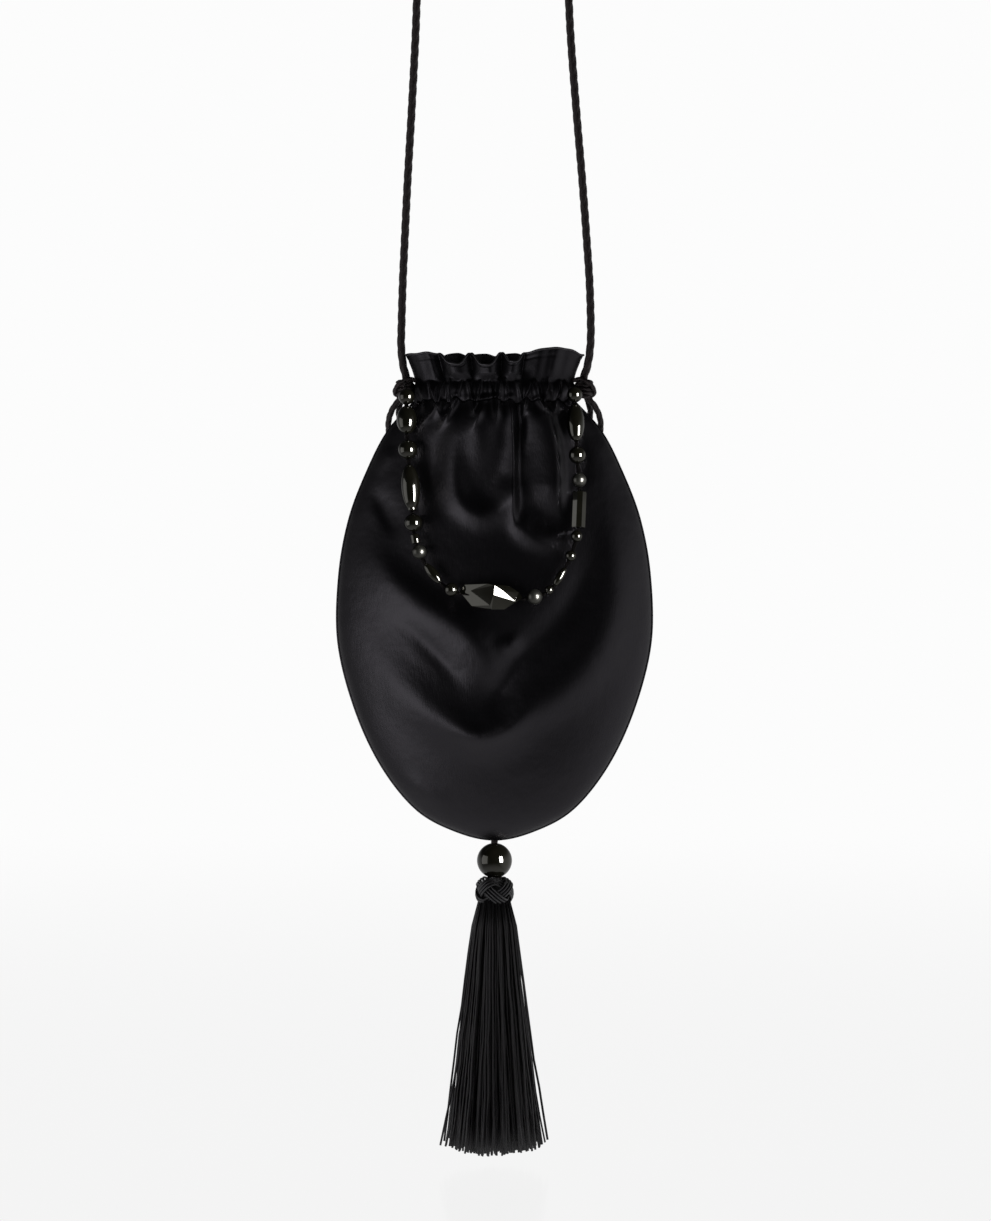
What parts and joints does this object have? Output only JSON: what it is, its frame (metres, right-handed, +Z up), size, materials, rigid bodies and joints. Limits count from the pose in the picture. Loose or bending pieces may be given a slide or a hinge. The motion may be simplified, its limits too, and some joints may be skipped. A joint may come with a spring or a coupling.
{
  "type": "silk drawstring pouch",
  "caption": "Leaf-shaped black satin drawstring pouch with a gathered casing and frill, a beaded handle, a long shoulder cord, and a large bead and tassel at its point.",
  "frame": {"origin": "underside of the shoulder cord's top bend, where the pouch hangs", "axes": "+Z up along the hang, -Y the front with the beaded handle, +X to the right seen from the front"},
  "size_m": [0.1794, 0.0658, 0.7876],
  "materials": {
    "satin": "black silk satin, soft sheen",
    "cord": "twisted black silk cord",
    "thread": "waxed black thread",
    "polished_bead": "polished black stone",
    "matte_bead": "dull black stone",
    "fringe": "black silk fringe cord"
  },
  "bodies": {
    "root": {"pouch": "satin", "shoulder_cord": "cord", "drawstring_loop_left": "cord", "drawstring_loop_right": "cord", "side_knot_left": "cord", "side_knot_right": "cord", "handle_thread": "thread", "handle_bead_01": "polished_bead", "handle_bead_02": "polished_bead", "handle_bead_03": "polished_bead", "handle_bead_04": "polished_bead", "handle_bead_05": "polished_bead", "handle_bead_06": "polished_bead", "handle_bead_07": "matte_bead", "handle_bead_08": "polished_bead", "handle_bead_09": "polished_bead", "handle_bead_10": "polished_bead", "handle_bead_11": "matte_bead", "handle_bead_12": "polished_bead", "handle_bead_13": "polished_bead", "handle_bead_14": "polished_bead", "handle_bead_15": "polished_bead", "handle_bead_16": "polished_bead", "handle_bead_17": "matte_bead", "handle_bead_18": "polished_bead", "handle_bead_19": "polished_bead", "handle_bead_20": "polished_bead", "tassel_cord": "cord", "tassel_bead": "polished_bead", "tassel_collar": "cord", "tassel_knot": "cord", "tassel_fringe": "fringe"}
  },
  "joints": []
}
